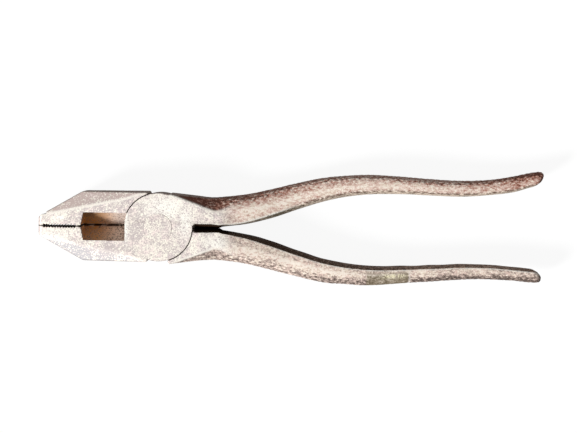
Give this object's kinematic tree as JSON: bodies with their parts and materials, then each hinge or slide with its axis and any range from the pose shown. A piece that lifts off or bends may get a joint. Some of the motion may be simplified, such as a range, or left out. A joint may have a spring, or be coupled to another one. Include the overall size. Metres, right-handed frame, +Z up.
{
  "type": "linemans pliers",
  "caption": "Bare steel linemans pliers: two forged halves crossing in a riveted lap joint, with toothed flat jaws, a side cutter well and bowed handles.",
  "frame": {"origin": "on the pivot axis, at the lower face of the joint, on which the pliers rest", "axes": "+Z up along the pivot axis, +X from the joint towards the handles' ends, +Y to the side of the front half's handle; the nose points along -X"},
  "size_m": [0.2276, 0.0525, 0.016],
  "materials": {
    "front_half_steel": "worn bare forged steel with brown rust patina in the hollows",
    "back_half_steel": "worn bare forged steel with brown rust patina in the hollows",
    "rivet_steel": "rivet heads ground flush with the joint's faces"
  },
  "bodies": {
    "lower_handle_side": {"back_half": "back_half_steel", "joint_rivet": "rivet_steel"},
    "upper_handle_side": {"front_half": "front_half_steel"}
  },
  "joints": [
    {"name": "jaw_pivot", "type": "hinge", "parent": "lower_handle_side", "child": "upper_handle_side", "pos_m": [0, 0, 0.008], "axis": [0, 0, 1], "range_deg": [0, 33]}
  ]
}
